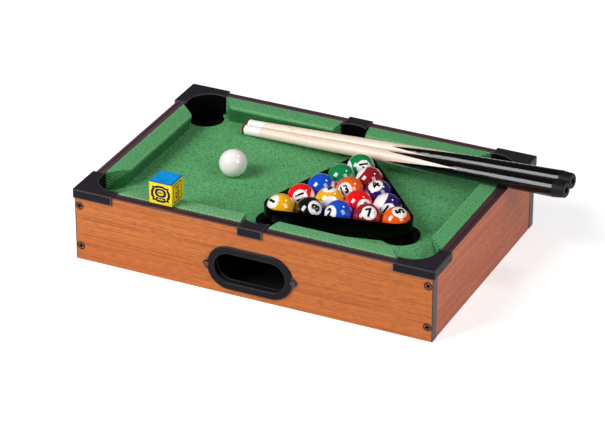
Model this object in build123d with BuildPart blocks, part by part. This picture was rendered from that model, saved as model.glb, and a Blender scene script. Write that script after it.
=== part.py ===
from build123d import *
import os
from math import atan, cos, radians, sin, sqrt, tan

# A table-top pool table with its cues, rack, balls and chalk, in millimetres.
# The origin is the middle of the underside, +X runs along the front, +Y to the rear.

# Carcass
table_length = 342.0  # over the edged ends of the long boards
table_width = 230.0  # over the faces of the long boards
table_height = 68.0  # to the top of the rail edging
panel_thickness = 9.0
edging_thickness = 0.8
end_panel_recess = 0.3  # the short boards stand this far inside the edged ends
edge_break = 0.25  # softened long edges of the top edging

# Bed and bottom
bed_depth = 17.5  # from the rail top down to the cloth
cloth_thickness = 0.5
bed_thickness = 3.0
bed_groove_depth = 3.0
board_clearance = 0.1  # around a board in its groove or rebate
cloth_gap = 0.2  # between the cloth's edge and the boards
bottom_thickness = 3.0
bottom_rebate_depth = 4.0

# Pockets
pocket_radius = 21.2  # rounded mouth and liner
liner_thickness = 0.9
liner_gap = 0.15  # between a liner and the boards beside it
liner_overrun = 5.0  # liner carried on past the quarter circle at each end
liner_reach = 6.0  # liner below the cloth
drop_radius = 17.2  # hole in the bed
drop_offset = 6.3  # hole centre, outwards from the mouth's centre in x and y
cap_thickness = 1.4
cap_arm = 38.4  # along each side from the outer corner
cap_overlap = 0.25  # gap between a skirt and the board it covers
skirt_thickness = 1.25
skirt_drop = 7.0  # skirt below the rail top
cap_corner_radius = 1.6
cap_edge_radius = 0.5
side_cap_width = 23.4
side_cap_bridge = 13.1  # depth of a side cap at its middle, where the mouth is hollowed most
side_liner_inset = 0.6  # liner end, in from the cap's end
side_drop_radius = 15.5
side_drop_inset = 15.0  # hole centre, in from the long board

# Cushions
cushion_width = 17.8  # board to nose
cushion_foot = 12.2  # width where it stands on the cloth
cushion_gap = 0.15
cushion_rise = 1.4  # back edge above the rail top
cushion_crown = 0.35  # bulge of the top, at half its width
nose_drop = 0.7  # from the back edge to the nose end of the crown
nose_height = 2.8  # from the back edge to the start of the drawn-in face
nose_draw = 0.3  # start of the drawn-in face, back from the nose
nose_round = 1.0  # end of the crown, back from the nose
end_cushion_gap = 2.2  # between a short cushion and the corner cap's arm
end_mitre = 16.5  # nose end drawn back from the board end
long_cushion_gap = 0.6  # between a long cushion and the corner cap's arm
long_mitre = 13.0
side_gap = 0.7  # between a long cushion and the side cap
side_mitre = 3.0
mitre_round = 1.2

# Ball return
return_height = 26.2
bezel_length = 82.0
bezel_height = 42.0
bezel_thickness = 1.8
bezel_edge_radius = 0.9
opening_length = 67.5
opening_height = 28.0
sleeve_wall = 1.8
sleeve_depth = 5.0
sleeve_clearance = 0.25
ear_centre = 41.7
ear_radius = 3.3
ear_root = 37.5  # where an ear's flanks leave the ring
ear_flank = 14.0  # across both flanks at the root
ear_thickness = 1.3

# Fasteners
screw_head_radius = 3.9
screw_shank_radius = 1.7
screw_length = 28.0
screw_angle = 90.0
screw_clearance = 0.05
screw_low = 13.7
screw_high = 53.5
recess_width = 0.9
recess_length = 4.0
recess_depth = 1.0
bezel_screw_head_radius = 2.1
bezel_screw_head_height = 1.2
bezel_screw_radius = 1.1
bezel_screw_length = 7.5
bezel_recess_width = 0.5
bezel_recess_length = 2.2
bezel_recess_depth = 0.6

# Balls and rack
ball_radius = 12.7
ball_gap = 0.3
rest_gap = 0.2  # between a loose piece and what it stands on
cue_ball_x = -72.1
cue_ball_y = -1.8
rack_apex_x = 35.0
rack_turn = 11.8
rack_cue_gap = 3.3
rack_wall = 1.5
rack_ball_gap = 0.35
rack_height = 17.4
rack_edge_radius = 0.45
rack_foot_radius = 18.0
rack_foot_shift = 4.0
rack_foot_thickness = 1.8

# Chalk
chalk_size = 21.3
chalk_dish_radius = 8.0
chalk_dish_depth = 1.2
chalk_edge_radius = 0.6
label_thickness = 0.25
label_height = 20.3
chalk_x = -88.5
chalk_rail_overlap = 3.5  # how far it stands out over the rail

# Cues
cue_length = 332.0
tip_length = 3.4
tip_radius = 4.65
tip_dome = 1.1
ferrule_end = 20.2
ferrule_radius = 4.75
butt_radius = 8.15
splice_start = 154.0
splice_end = 229.0
splice_apex = 250.0
splice_points = 4
splice_blunt = 0.5  # the dark points are cut off this far from their sharp ends
bumper_length = 11.0
bumper_step = 0.15  # bumper inside the butt's end
bumper_end_radius = 6.9
bumper_hole_radius = 3.0
bumper_hole_depth = 5.0
bumper_edge = 0.7
near_tip_inset_x = 61.0  # tip in from the left board
near_tip_inset_y = 29.8  # tip in from the rear board
near_yaw = -6.0
near_splice_turn = 58.0
far_tip_inset_x = 59.4
far_tip_inset_y = 19.2
far_yaw = -4.7
far_splice_turn = 82.0
near_rest_inset = 16.0  # where a cue crosses the right cushion, in from the board
far_rest_inset = 9.5

# Derived places
half_length = table_length / 2
half_width = table_width / 2
end_outer = half_length - end_panel_recess
inner_x = end_outer - panel_thickness
inner_y = half_width - panel_thickness
board_end = half_length - edging_thickness
panel_height = table_height - edging_thickness
bed_top = table_height - bed_depth
board_top = bed_top - cloth_thickness
board_low = board_top - bed_thickness
liner_radius = pocket_radius + liner_thickness
pocket_x = inner_x - liner_radius - liner_gap
pocket_y = inner_y - liner_radius - liner_gap
cap_x = half_length + cap_overlap + skirt_thickness
cap_y = half_width + cap_overlap + skirt_thickness
side_mouth_y = cap_y - side_cap_bridge - pocket_radius
side_drop_y = inner_y - side_drop_inset
screw_x = inner_x + panel_thickness / 2
cushion_low = bed_top + cloth_gap
cushion_top = table_height + cushion_rise
butt_end = cue_length - bumper_length
corner_signs = ((1, 1), (-1, 1), (-1, -1), (1, -1))
corner_turns = (0, 90, 180, 270)

front_face = Plane(origin=(0, -half_width, 0), x_dir=(1, 0, 0), z_dir=(0, -1, 0))
rear_face = Plane(origin=(0, half_width, 0), x_dir=(-1, 0, 0), z_dir=(0, 1, 0))
right_face = Plane(origin=(end_outer, 0, 0), x_dir=(0, 1, 0), z_dir=(1, 0, 0))
left_face = Plane(origin=(-end_outer, 0, 0), x_dir=(0, -1, 0), z_dir=(-1, 0, 0))

os.makedirs("parts", exist_ok=True)


def save(part, name):
    part.label = name
    export_step(part, f"parts/{name}.step")


def board(face, length):
    # A plain board standing behind the given face, with the bed's groove and the bottom's rebate.
    inside = face.offset(-panel_thickness)
    along = face.x_dir.Y == 0
    reach = inner_x if along else inner_y
    with BuildSketch(face) as outline:
        with Locations((0, panel_height / 2)):
            Rectangle(length, panel_height)
    extrude(outline.sketch, amount=-panel_thickness)
    with BuildSketch(inside) as groove:
        with Locations((0, (board_top + board_low) / 2)):
            Rectangle(2 * (reach + bed_groove_depth), bed_thickness + 2 * board_clearance)
    extrude(groove.sketch, amount=bed_groove_depth, mode=Mode.SUBTRACT)
    with BuildSketch(inside) as rebate:
        with Locations((0, bottom_thickness / 2)):
            Rectangle(2 * (reach + bottom_rebate_depth), bottom_thickness)
    extrude(rebate.sketch, amount=bottom_rebate_depth, mode=Mode.SUBTRACT)


def screw_places():
    return [(x, z) for x in (-screw_x, screw_x) for z in (screw_low, screw_high)]


def screw_holes(face):
    with Locations(face):
        with Locations(*screw_places()):
            CounterSinkHole(
                screw_shank_radius + screw_clearance,
                screw_head_radius + screw_clearance,
                counter_sink_angle=screw_angle,
            )


def pilot_holes(side):
    # Pilot bores in the end grain of a short board, one pair at each end.
    depth = screw_length - panel_thickness + screw_clearance
    for end in (-1, 1):
        for z in (screw_low, screw_high):
            mouth = Plane(origin=(side * screw_x, end * inner_y, z), z_dir=(0, end, 0))
            with Locations(mouth):
                Hole(screw_shank_radius + screw_clearance, depth=depth)


# Long boards: they run the full length and cover the ends of the short ones.
with BuildPart() as front_panel:
    board(front_face, 2 * board_end)
    screw_holes(front_face)
    with BuildSketch(front_face):
        with Locations((0, return_height)):
            SlotOverall(
                opening_length + 2 * (sleeve_wall + sleeve_clearance),
                opening_height + 2 * (sleeve_wall + sleeve_clearance),
            )
    extrude(amount=-panel_thickness, mode=Mode.SUBTRACT)
    with Locations(front_face):
        with Locations((-ear_centre, return_height), (ear_centre, return_height)):
            Hole(bezel_screw_radius + screw_clearance, depth=bezel_screw_length)
save(front_panel.part, "front_panel")

with BuildPart() as rear_panel:
    board(rear_face, 2 * board_end)
    screw_holes(rear_face)
save(rear_panel.part, "rear_panel")

# Short boards, between the long ones.
for name, face, side in (("left_panel", left_face, -1), ("right_panel", right_face, 1)):
    with BuildPart() as short_panel:
        board(face, 2 * inner_y)
        pilot_holes(side)
    save(short_panel.part, name)

# Top edging: the long strips run over the corners, the short ones fit between them.
for name, side in (("front_rail_edging", -1), ("rear_rail_edging", 1)):
    with BuildPart() as long_edging:
        with BuildSketch(Plane.XY.offset(panel_height)):
            with Locations((0, side * (half_width - panel_thickness / 2))):
                Rectangle(table_length, panel_thickness)
        extrude(amount=edging_thickness)
        chamfer(long_edging.edges().group_by(Axis.Z)[-1].filter_by(Axis.X), edge_break)
    save(long_edging.part, name)

for name, side in (("left_rail_edging", -1), ("right_rail_edging", 1)):
    with BuildPart() as short_edging:
        with BuildSketch(Plane.XY.offset(panel_height)):
            with Locations((side * screw_x, 0)):
                Rectangle(panel_thickness, 2 * inner_y)
        extrude(amount=edging_thickness)
        chamfer(short_edging.edges().group_by(Axis.Z)[-1].filter_by(Axis.Y), edge_break)
    save(short_edging.part, name)

# Edging on the four raw ends of the long boards.
with BuildPart() as panel_end_edging:
    with GridLocations(2 * board_end + edging_thickness, table_width - panel_thickness, 2, 2):
        Box(edging_thickness, panel_thickness, panel_height, align=(Align.CENTER, Align.CENTER, Align.MIN))
save(panel_end_edging.part, "panel_end_edging")

# Cut-outs in the bed: the drop hole, opened to the corner for the liner of the moulding.
with BuildSketch() as corner_drop:
    with Locations((liner_radius - liner_overrun, liner_radius - liner_overrun)):
        Rectangle(2 * liner_radius, 2 * liner_radius)
    with Locations((drop_offset, drop_offset)):
        Circle(drop_radius)

with BuildSketch() as side_drop:
    Circle(side_drop_radius)
    with Locations((0, side_drop_inset / 2)):
        Rectangle(side_cap_width, side_drop_inset)


def bed_outline(length, width):
    Rectangle(length, width)
    for (side_x, side_y), turn in zip(corner_signs, corner_turns):
        with Locations(Location((side_x * pocket_x, side_y * pocket_y, 0), (0, 0, turn))):
            add(corner_drop.sketch, mode=Mode.SUBTRACT)
    for side_y, turn in ((1, 0), (-1, 180)):
        with Locations(Location((0, side_y * side_drop_y, 0), (0, 0, turn))):
            add(side_drop.sketch, mode=Mode.SUBTRACT)


with BuildPart() as bed_board:
    margin = bed_groove_depth - board_clearance
    with BuildSketch(Plane.XY.offset(board_low)):
        bed_outline(2 * (inner_x + margin), 2 * (inner_y + margin))
    extrude(amount=bed_thickness)
save(bed_board.part, "bed_board")

with BuildPart() as bed_cloth:
    with BuildSketch(Plane.XY.offset(board_top)):
        bed_outline(2 * (inner_x - cloth_gap), 2 * (inner_y - cloth_gap))
    extrude(amount=cloth_thickness)
save(bed_cloth.part, "bed_cloth")

with BuildPart() as bottom_board:
    margin = bottom_rebate_depth - board_clearance
    with BuildSketch():
        Rectangle(2 * (inner_x + margin), 2 * (inner_y + margin))
    extrude(amount=bottom_thickness)
save(bottom_board.part, "bottom_board")

# Corner pocket: a cap on the rails, a skirt down both outer faces and a rounded liner into the bed.
rail_top = Plane.XY.offset(table_height)
cap_centre = (cap_x - cap_arm / 2, cap_y - cap_arm / 2)
with BuildPart() as corner_pocket:
    with BuildSketch(rail_top):
        with Locations(cap_centre):
            Rectangle(cap_arm, cap_arm)
        with Locations((pocket_x, pocket_y)):
            Circle(pocket_radius, mode=Mode.SUBTRACT)
    extrude(amount=cap_thickness)
    with BuildSketch(rail_top):
        with Locations(cap_centre):
            Rectangle(cap_arm, cap_arm)
            with Locations((-skirt_thickness, -skirt_thickness)):
                Rectangle(cap_arm, cap_arm, mode=Mode.SUBTRACT)
    extrude(amount=-skirt_drop)
    upright_edges = corner_pocket.edges().filter_by(Axis.Z)
    fillet(upright_edges.group_by(Axis.X)[-1].sort_by(Axis.Y)[-1], cap_corner_radius)
    fillet(corner_pocket.faces().sort_by(Axis.Z)[-1].edges(), cap_edge_radius)
    with BuildSketch(rail_top):
        with Locations((pocket_x, pocket_y)):
            Circle(liner_radius)
            Circle(pocket_radius, mode=Mode.SUBTRACT)
            with Locations((liner_radius - liner_overrun, liner_radius - liner_overrun)):
                Rectangle(2 * liner_radius, 2 * liner_radius, mode=Mode.INTERSECT)
    extrude(amount=-(bed_depth + liner_reach))
save(corner_pocket.part, "rear_right_pocket")

with BuildPart() as left_corner_pocket:
    mirror(corner_pocket.part, about=Plane.YZ)
save(left_corner_pocket.part, "rear_left_pocket")

for name, pocket in (("front_right_pocket", corner_pocket), ("front_left_pocket", left_corner_pocket)):
    with BuildPart() as front_corner_pocket:
        mirror(pocket.part, about=Plane.XZ)
    save(front_corner_pocket.part, name)

# Side pocket: the same mouth, cut off square at both ends.
with BuildPart() as side_pocket:
    with BuildSketch(rail_top):
        with Locations((0, (cap_y + side_mouth_y) / 2)):
            Rectangle(side_cap_width, cap_y - side_mouth_y)
        with Locations((0, side_mouth_y)):
            Circle(pocket_radius, mode=Mode.SUBTRACT)
    extrude(amount=cap_thickness)
    with BuildSketch(rail_top):
        with Locations((0, cap_y - skirt_thickness / 2)):
            Rectangle(side_cap_width, skirt_thickness)
    extrude(amount=-skirt_drop)
    fillet(side_pocket.faces().sort_by(Axis.Z)[-1].edges(), cap_edge_radius)
    with BuildSketch(rail_top):
        with Locations((0, side_mouth_y)):
            Circle(liner_radius)
            Circle(pocket_radius, mode=Mode.SUBTRACT)
            with Locations((0, liner_radius)):
                Rectangle(side_cap_width - 2 * side_liner_inset, 2 * liner_radius, mode=Mode.INTERSECT)
    extrude(amount=-(bed_depth + liner_reach))
save(side_pocket.part, "rear_side_pocket")

with BuildPart() as front_side_pocket:
    mirror(side_pocket.part, about=Plane.XZ)
save(front_side_pocket.part, "front_side_pocket")


def cushion_height(inset):
    # Height of the crowned top at a distance in from the board.
    share = (inset - cushion_gap) / (cushion_width - nose_round - cushion_gap)
    return cushion_top - nose_drop * share + 4 * cushion_crown * share * (1 - share)


def cushion_section():
    # Seen along the rail: x runs from the board to the nose, y up. Crowned top, small nose, drawn-in face.
    crown_middle = (cushion_gap + cushion_width - nose_round) / 2
    with BuildLine() as outline:
        back = Polyline(
            (cushion_gap, cushion_top),
            (cushion_gap, cushion_low),
            (cushion_foot, cushion_low),
            (cushion_width - nose_draw, cushion_top - nose_height),
        )
        nose = ThreePointArc(
            back @ 1,
            (cushion_width, cushion_top - (nose_height + nose_drop) / 2),
            (cushion_width - nose_round, cushion_top - nose_drop),
        )
        ThreePointArc(nose @ 1, (crown_middle, cushion_height(crown_middle)), back @ 0)
    make_face(outline.edges())


# End cushions: mitred at both ends towards the corner pockets.
right_rail_section = Plane(origin=(inner_x, 0, 0), x_dir=(-1, 0, 0), z_dir=(0, 1, 0))
end_half = cap_y - cap_arm - end_cushion_gap
cut_depth = cushion_width + mitre_round
end_cut = end_mitre * cut_depth / cushion_width
with BuildPart() as right_cushion:
    with BuildSketch(right_rail_section):
        cushion_section()
    extrude(amount=half_width, both=True)
    with BuildSketch(Plane.XY.offset(bed_top)) as end_plan:
        Polygon(
            (inner_x, -end_half),
            (inner_x, end_half),
            (inner_x - cut_depth, end_half - end_cut),
            (inner_x - cut_depth, end_cut - end_half),
            align=None,
        )
        fillet(end_plan.vertices().group_by(Axis.X)[0], mitre_round)
    extrude(amount=bed_depth + cushion_rise + cushion_crown, mode=Mode.INTERSECT)
save(right_cushion.part, "right_cushion")

with BuildPart() as left_cushion:
    mirror(right_cushion.part, about=Plane.YZ)
save(left_cushion.part, "left_cushion")

# Long cushions: mitred at the corner pocket, nearly square at the side pocket.
rear_rail_section = Plane(origin=(0, inner_y, 0), x_dir=(0, -1, 0), z_dir=(-1, 0, 0))
corner_end = cap_x - cap_arm - long_cushion_gap
corner_cut = long_mitre * cut_depth / cushion_width
side_end = side_cap_width / 2 + side_gap
side_cut = side_mitre * cut_depth / cushion_width
with BuildPart() as rear_right_cushion:
    with BuildSketch(rear_rail_section):
        cushion_section()
    extrude(amount=half_length, both=True)
    with BuildSketch(Plane.XY.offset(bed_top)) as long_plan:
        Polygon(
            (corner_end, inner_y),
            (side_end, inner_y),
            (side_end + side_cut, inner_y - cut_depth),
            (corner_end - corner_cut, inner_y - cut_depth),
            align=None,
        )
        fillet(long_plan.vertices().group_by(Axis.Y)[0], mitre_round)
    extrude(amount=bed_depth + cushion_rise + cushion_crown, mode=Mode.INTERSECT)
save(rear_right_cushion.part, "rear_right_cushion")

with BuildPart() as rear_left_cushion:
    mirror(rear_right_cushion.part, about=Plane.YZ)
save(rear_left_cushion.part, "rear_left_cushion")

for name, cushion in (("front_right_cushion", rear_right_cushion), ("front_left_cushion", rear_left_cushion)):
    with BuildPart() as front_cushion:
        mirror(cushion.part, about=Plane.XZ)
    save(front_cushion.part, name)

# Ball return: a flat oval ring with two screw ears and a sleeve into the board.
with BuildPart() as return_bezel:
    with BuildSketch(front_face):
        with Locations((0, return_height)):
            SlotOverall(bezel_length, bezel_height)
            SlotOverall(opening_length, opening_height, mode=Mode.SUBTRACT)
    extrude(amount=bezel_thickness)
    fillet(return_bezel.faces().sort_by(Axis.Y)[0].edges(), bezel_edge_radius)
    for side in (-1, 1):
        with BuildSketch(front_face):
            with Locations((side * ear_centre, return_height)):
                Circle(ear_radius)
            with Locations((side * ear_root, return_height)):
                Rectangle(1, ear_flank)
            make_hull()
        extrude(amount=ear_thickness)
    with BuildSketch(front_face):
        with Locations((0, return_height)):
            SlotOverall(opening_length + 2 * sleeve_wall, opening_height + 2 * sleeve_wall)
            SlotOverall(opening_length, opening_height, mode=Mode.SUBTRACT)
    extrude(amount=-sleeve_depth)
    with Locations(front_face.offset(bezel_thickness)):
        with Locations((-ear_centre, return_height), (ear_centre, return_height)):
            Hole(bezel_screw_radius + screw_clearance)
            Hole(bezel_screw_head_radius + screw_clearance, depth=bezel_thickness - ear_thickness)
save(return_bezel.part, "return_bezel")


def cross_recess(top, long, wide, depth):
    with Locations((0, 0, top)):
        Box(long, wide, 2 * depth, mode=Mode.SUBTRACT)
        Box(wide, long, 2 * depth, mode=Mode.SUBTRACT)


# Countersunk screw, head at the origin and shank along -Z.
with BuildPart() as countersunk_screw:
    with BuildSketch(Plane.XZ):
        with BuildLine():
            head_depth = (screw_head_radius - screw_shank_radius) / tan(radians(screw_angle / 2))
            Polyline(
                (0, 0),
                (screw_head_radius, 0),
                (screw_shank_radius, -head_depth),
                (screw_shank_radius, screw_shank_radius - screw_length),
                (0, -screw_length),
                close=True,
            )
        make_face()
    revolve(axis=Axis.Z)
    cross_recess(0, recess_length, recess_width, recess_depth)

with BuildPart() as panel_screws:
    for face in (front_face, rear_face):
        with Locations(face):
            with Locations(*screw_places()):
                add(countersunk_screw.part)
save(panel_screws.part, "panel_screws")

# Small dome-headed screw, underside of the head at the origin.
with BuildPart() as dome_screw:
    with BuildSketch(Plane.XZ):
        with BuildLine():
            dome = TangentArc((0, bezel_screw_head_height), (bezel_screw_head_radius, 0), tangent=(1, 0))
            Polyline(
                dome @ 1,
                (bezel_screw_radius, 0),
                (bezel_screw_radius, bezel_screw_radius - bezel_screw_length),
                (0, -bezel_screw_length),
                dome @ 0,
            )
        make_face()
    revolve(axis=Axis.Z)
    cross_recess(bezel_screw_head_height, bezel_recess_length, bezel_recess_width, bezel_recess_depth)

with BuildPart() as bezel_screws:
    with Locations(front_face.offset(ear_thickness)):
        with Locations((-ear_centre, return_height), (ear_centre, return_height)):
            add(dome_screw.part)
save(bezel_screws.part, "bezel_screws")


def cue_radius(station):
    # The wood tapers evenly from the ferrule to the bumper.
    share = (station - ferrule_end) / (butt_end - ferrule_end)
    return ferrule_radius + (butt_radius - ferrule_radius) * share


def cue_frame(tip_inset_x, tip_inset_y, yaw, rest_inset):
    # A plane through the cue's axis: x along the cue from its tip, y upwards. The cue lies with its
    # ferrule on the cloth and its shaft over the right cushion.
    turn = radians(yaw)
    tip_x = tip_inset_x - inner_x
    run = (inner_x - rest_inset - tip_x) / cos(turn)
    climb = cushion_height(rest_inset) - bed_top
    pitch = atan((climb + cue_radius(run) - ferrule_radius) / run)
    return Plane(
        origin=(tip_x, inner_y - tip_inset_y, bed_top + rest_gap + ferrule_radius),
        x_dir=(cos(pitch) * cos(turn), cos(pitch) * sin(turn), sin(pitch)),
        z_dir=(sin(turn), -cos(turn), 0),
    )


near_frame = cue_frame(near_tip_inset_x, near_tip_inset_y, near_yaw, near_rest_inset)
far_frame = cue_frame(far_tip_inset_x, far_tip_inset_y, far_yaw, far_rest_inset)

# The rack stands clear in front of the near cue; its balls touch one another in five rows.
ball_pitch = 2 * ball_radius + ball_gap
row_step = ball_pitch * sqrt(3) / 2
rack_inner = ball_radius + rack_ball_gap
rack_outer = rack_inner + rack_wall
apex_run = (rack_apex_x - near_frame.origin.X) / cos(radians(near_yaw))
apex_reach = (cue_radius(apex_run) + rack_cue_gap + rack_outer) / cos(radians(near_yaw))
rack_apex_y = near_frame.origin.Y + apex_run * sin(radians(near_yaw)) - apex_reach
ball_height = bed_top + rest_gap + ball_radius


def rack_place(across, along):
    # From the rack's own axes, apex at the origin, to the table.
    turn = radians(rack_turn)
    x = rack_apex_x + across * cos(turn) - along * sin(turn)
    y = rack_apex_y + across * sin(turn) + along * cos(turn)
    return (x, y)


ball_rows = ((14,), (6, 15), (10, 13, 4), (11, 9, 3, 12), (1, 8, 2, 7, 5))
for row, numbers in enumerate(ball_rows):
    for column, number in enumerate(numbers):
        x, y = rack_place((column - row / 2) * ball_pitch, -row * row_step)
        with BuildPart() as ball:
            with Locations((x, y, ball_height)):
                Sphere(ball_radius)
        save(ball.part, f"ball_{number}")

with BuildPart() as cue_ball:
    with Locations((cue_ball_x, cue_ball_y, ball_height)):
        Sphere(ball_radius)
save(cue_ball.part, "cue_ball")

# Rack: a thin upright wall round the triangle, with a flat lobe at the foot of each corner.
last_row = len(ball_rows) - 1
front_half = last_row * ball_pitch / 2
front_depth = -last_row * row_step
rack_corners = (rack_place(0, 0), rack_place(-front_half, front_depth), rack_place(front_half, front_depth))
side_shift = rack_foot_shift * cos(radians(30))
foot_centres = (
    rack_place(0, rack_foot_shift),
    rack_place(-front_half - side_shift, front_depth - rack_foot_shift / 2),
    rack_place(front_half + side_shift, front_depth - rack_foot_shift / 2),
)
rack_foot = Plane.XY.offset(bed_top + rest_gap)


def rack_outline(reach):
    with Locations(*rack_corners):
        Circle(reach)
    make_hull()


with BuildPart() as rack:
    with BuildSketch(rack_foot):
        rack_outline(rack_outer)
    extrude(amount=rack_height)
    with BuildSketch(rack_foot):
        with Locations(*foot_centres):
            Circle(rack_foot_radius)
    extrude(amount=rack_foot_thickness)
    with BuildSketch(rack_foot):
        rack_outline(rack_inner)
    extrude(amount=rack_height, mode=Mode.SUBTRACT)
    fillet(rack.faces().sort_by(Axis.Z)[-1].edges(), rack_edge_radius)
save(rack.part, "rack")

# Chalk: a cube with a worn hollow, its paper label round all four sides. It stands on a cushion's crown.
chalk_y = chalk_size / 2 + label_thickness - chalk_rail_overlap - inner_y
chalk_foot = (chalk_x, chalk_y, cushion_top + cushion_crown / 2 + rest_gap)
dish_ball = (chalk_dish_radius**2 + chalk_dish_depth**2) / (2 * chalk_dish_depth)
with BuildPart() as chalk_block:
    with Locations(chalk_foot):
        Box(chalk_size, chalk_size, chalk_size, align=(Align.CENTER, Align.CENTER, Align.MIN))
        fillet(chalk_block.edges().group_by(Axis.Z)[-1], chalk_edge_radius)
        with Locations((0, 0, chalk_size - chalk_dish_depth + dish_ball)):
            Sphere(dish_ball, mode=Mode.SUBTRACT)
save(chalk_block.part, "chalk_block")

with BuildPart() as chalk_label:
    with BuildSketch(Plane(chalk_foot)):
        Rectangle(chalk_size + 2 * label_thickness, chalk_size + 2 * label_thickness)
        Rectangle(chalk_size, chalk_size, mode=Mode.SUBTRACT)
    extrude(amount=label_height)
save(chalk_label.part, "chalk_label")


def turned(frame, *profile):
    # Turns a profile of (station, radius) points about the cue's axis.
    with BuildSketch(frame) as outline:
        with BuildLine():
            Polyline(*profile, close=True)
        make_face()
    revolve(outline.sketch, axis=Axis(frame.origin, frame.x_dir))


def taper(frame, start, end):
    turned(frame, (start, 0), (start, cue_radius(start)), (end, cue_radius(end)), (end, 0))


def splice_star(frame, turn, mode):
    # A pyramid on a pointed star: where it meets the taper, light points and dark points interlock.
    depth = splice_apex - splice_start
    inner = cue_radius(splice_start)
    outer = cue_radius(splice_end) * depth / (splice_apex - splice_end)
    points = []
    for corner in range(2 * splice_points):
        angle = radians(turn + 180 * corner / splice_points)
        reach = inner if corner % 2 else outer
        points.append((reach * cos(angle), reach * sin(angle)))
    base = Plane(
        origin=frame.origin + frame.x_dir * splice_start,
        x_dir=frame.y_dir,
        z_dir=frame.x_dir,
    )
    with BuildSketch(base) as star:
        Polygon(*points, align=None)
    apex = frame.origin + frame.x_dir * splice_apex
    loft([star.sketch, Vertex(apex.X, apex.Y, apex.Z)], ruled=True, mode=mode)


# Cues: leather tip, ferrule, light shaft spliced into a dark butt, and a rubber bumper.
splice_cut = splice_start + splice_blunt
cues = (("near_cue", near_frame, near_splice_turn), ("far_cue", far_frame, far_splice_turn))
for name, frame, turn in cues:
    with BuildPart() as cue_tip:
        with BuildSketch(frame):
            with BuildLine():
                dome = TangentArc((0, 0), (tip_dome, tip_radius), tangent=(0, 1))
                Polyline(dome @ 1, (tip_length, tip_radius), (tip_length, 0), dome @ 0)
            make_face()
        revolve(axis=Axis(frame.origin, frame.x_dir))
    save(cue_tip.part, f"{name}_tip")

    with BuildPart() as ferrule:
        turned(
            frame,
            (tip_length, 0),
            (tip_length, ferrule_radius),
            (ferrule_end, ferrule_radius),
            (ferrule_end, 0),
        )
    save(ferrule.part, f"{name}_ferrule")

    with BuildPart() as shaft:
        taper(frame, splice_cut, splice_apex)
        splice_star(frame, turn, Mode.INTERSECT)
        taper(frame, ferrule_end, splice_cut)
    save(shaft.part, f"{name}_shaft")

    with BuildPart() as butt:
        taper(frame, splice_cut, butt_end)
        splice_star(frame, turn, Mode.SUBTRACT)
    save(butt.part, f"{name}_butt")

    with BuildPart() as bumper:
        turned(
            frame,
            (butt_end, 0),
            (butt_end, butt_radius - bumper_step),
            (cue_length - bumper_edge, bumper_end_radius),
            (cue_length, bumper_end_radius - bumper_edge),
            (cue_length, bumper_hole_radius),
            (cue_length - bumper_hole_depth, bumper_hole_radius),
            (cue_length - bumper_hole_depth, 0),
        )
    save(bumper.part, f"{name}_bumper")
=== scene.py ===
from math import atan2, cos, hypot, pi, radians, sin, sqrt

import bmesh
import bpy
from mathutils import Matrix, Vector


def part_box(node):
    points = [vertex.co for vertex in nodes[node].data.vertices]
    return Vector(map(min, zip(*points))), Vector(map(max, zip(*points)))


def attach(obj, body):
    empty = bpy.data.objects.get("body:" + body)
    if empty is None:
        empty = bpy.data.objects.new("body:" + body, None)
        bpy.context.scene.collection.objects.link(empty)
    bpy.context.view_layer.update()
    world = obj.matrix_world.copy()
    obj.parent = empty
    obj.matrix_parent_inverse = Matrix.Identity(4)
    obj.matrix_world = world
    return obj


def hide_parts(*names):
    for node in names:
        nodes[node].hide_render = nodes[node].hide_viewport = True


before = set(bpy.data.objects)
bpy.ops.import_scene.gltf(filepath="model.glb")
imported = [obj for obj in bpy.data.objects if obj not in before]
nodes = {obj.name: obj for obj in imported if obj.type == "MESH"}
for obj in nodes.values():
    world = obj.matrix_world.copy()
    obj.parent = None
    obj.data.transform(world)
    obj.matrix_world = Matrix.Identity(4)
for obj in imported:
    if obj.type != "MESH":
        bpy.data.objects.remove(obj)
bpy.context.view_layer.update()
scene = bpy.context.scene
scene.view_settings.view_transform = "Standard"
print("frame loaded:", len(nodes), "nodes")

# where the photograph was taken from
shot = {
    "lens": 182.7,
    "sensor": 36.0,
    "azimuth": 25.347,  # degrees round from the front, to the right
    "elevation": 28.462,
    "reach": 2.7282,
    "target": (-0.00158, -0.00611, 0.030),
}


def fromAbove(azimuth, elevation):
    # unit direction from the table out to a camera or lamp
    turn, rise = radians(azimuth), radians(elevation)
    return Vector((sin(turn) * cos(rise), -cos(turn) * cos(rise), sin(rise)))


def aimAt(thing, place, target):
    thing.location = place
    thing.rotation_euler = (Vector(target) - place).to_track_quat("-Z", "Y").to_euler()


def newObject(name, data):
    thing = bpy.data.objects.new(name, data)
    scene.collection.objects.link(thing)
    return thing


viewOut = fromAbove(shot["azimuth"], shot["elevation"])
viewRight = Vector((0, 0, 1)).cross(viewOut).normalized()
viewUp = viewOut.cross(viewRight)
camera = newObject("camera", bpy.data.cameras.new("camera"))
camera.data.lens = shot["lens"]
camera.data.sensor_width = shot["sensor"]
camera.data.clip_end = 100
aimAt(camera, Vector(shot["target"]) + viewOut * shot["reach"], shot["target"])
scene.camera = camera

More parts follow.
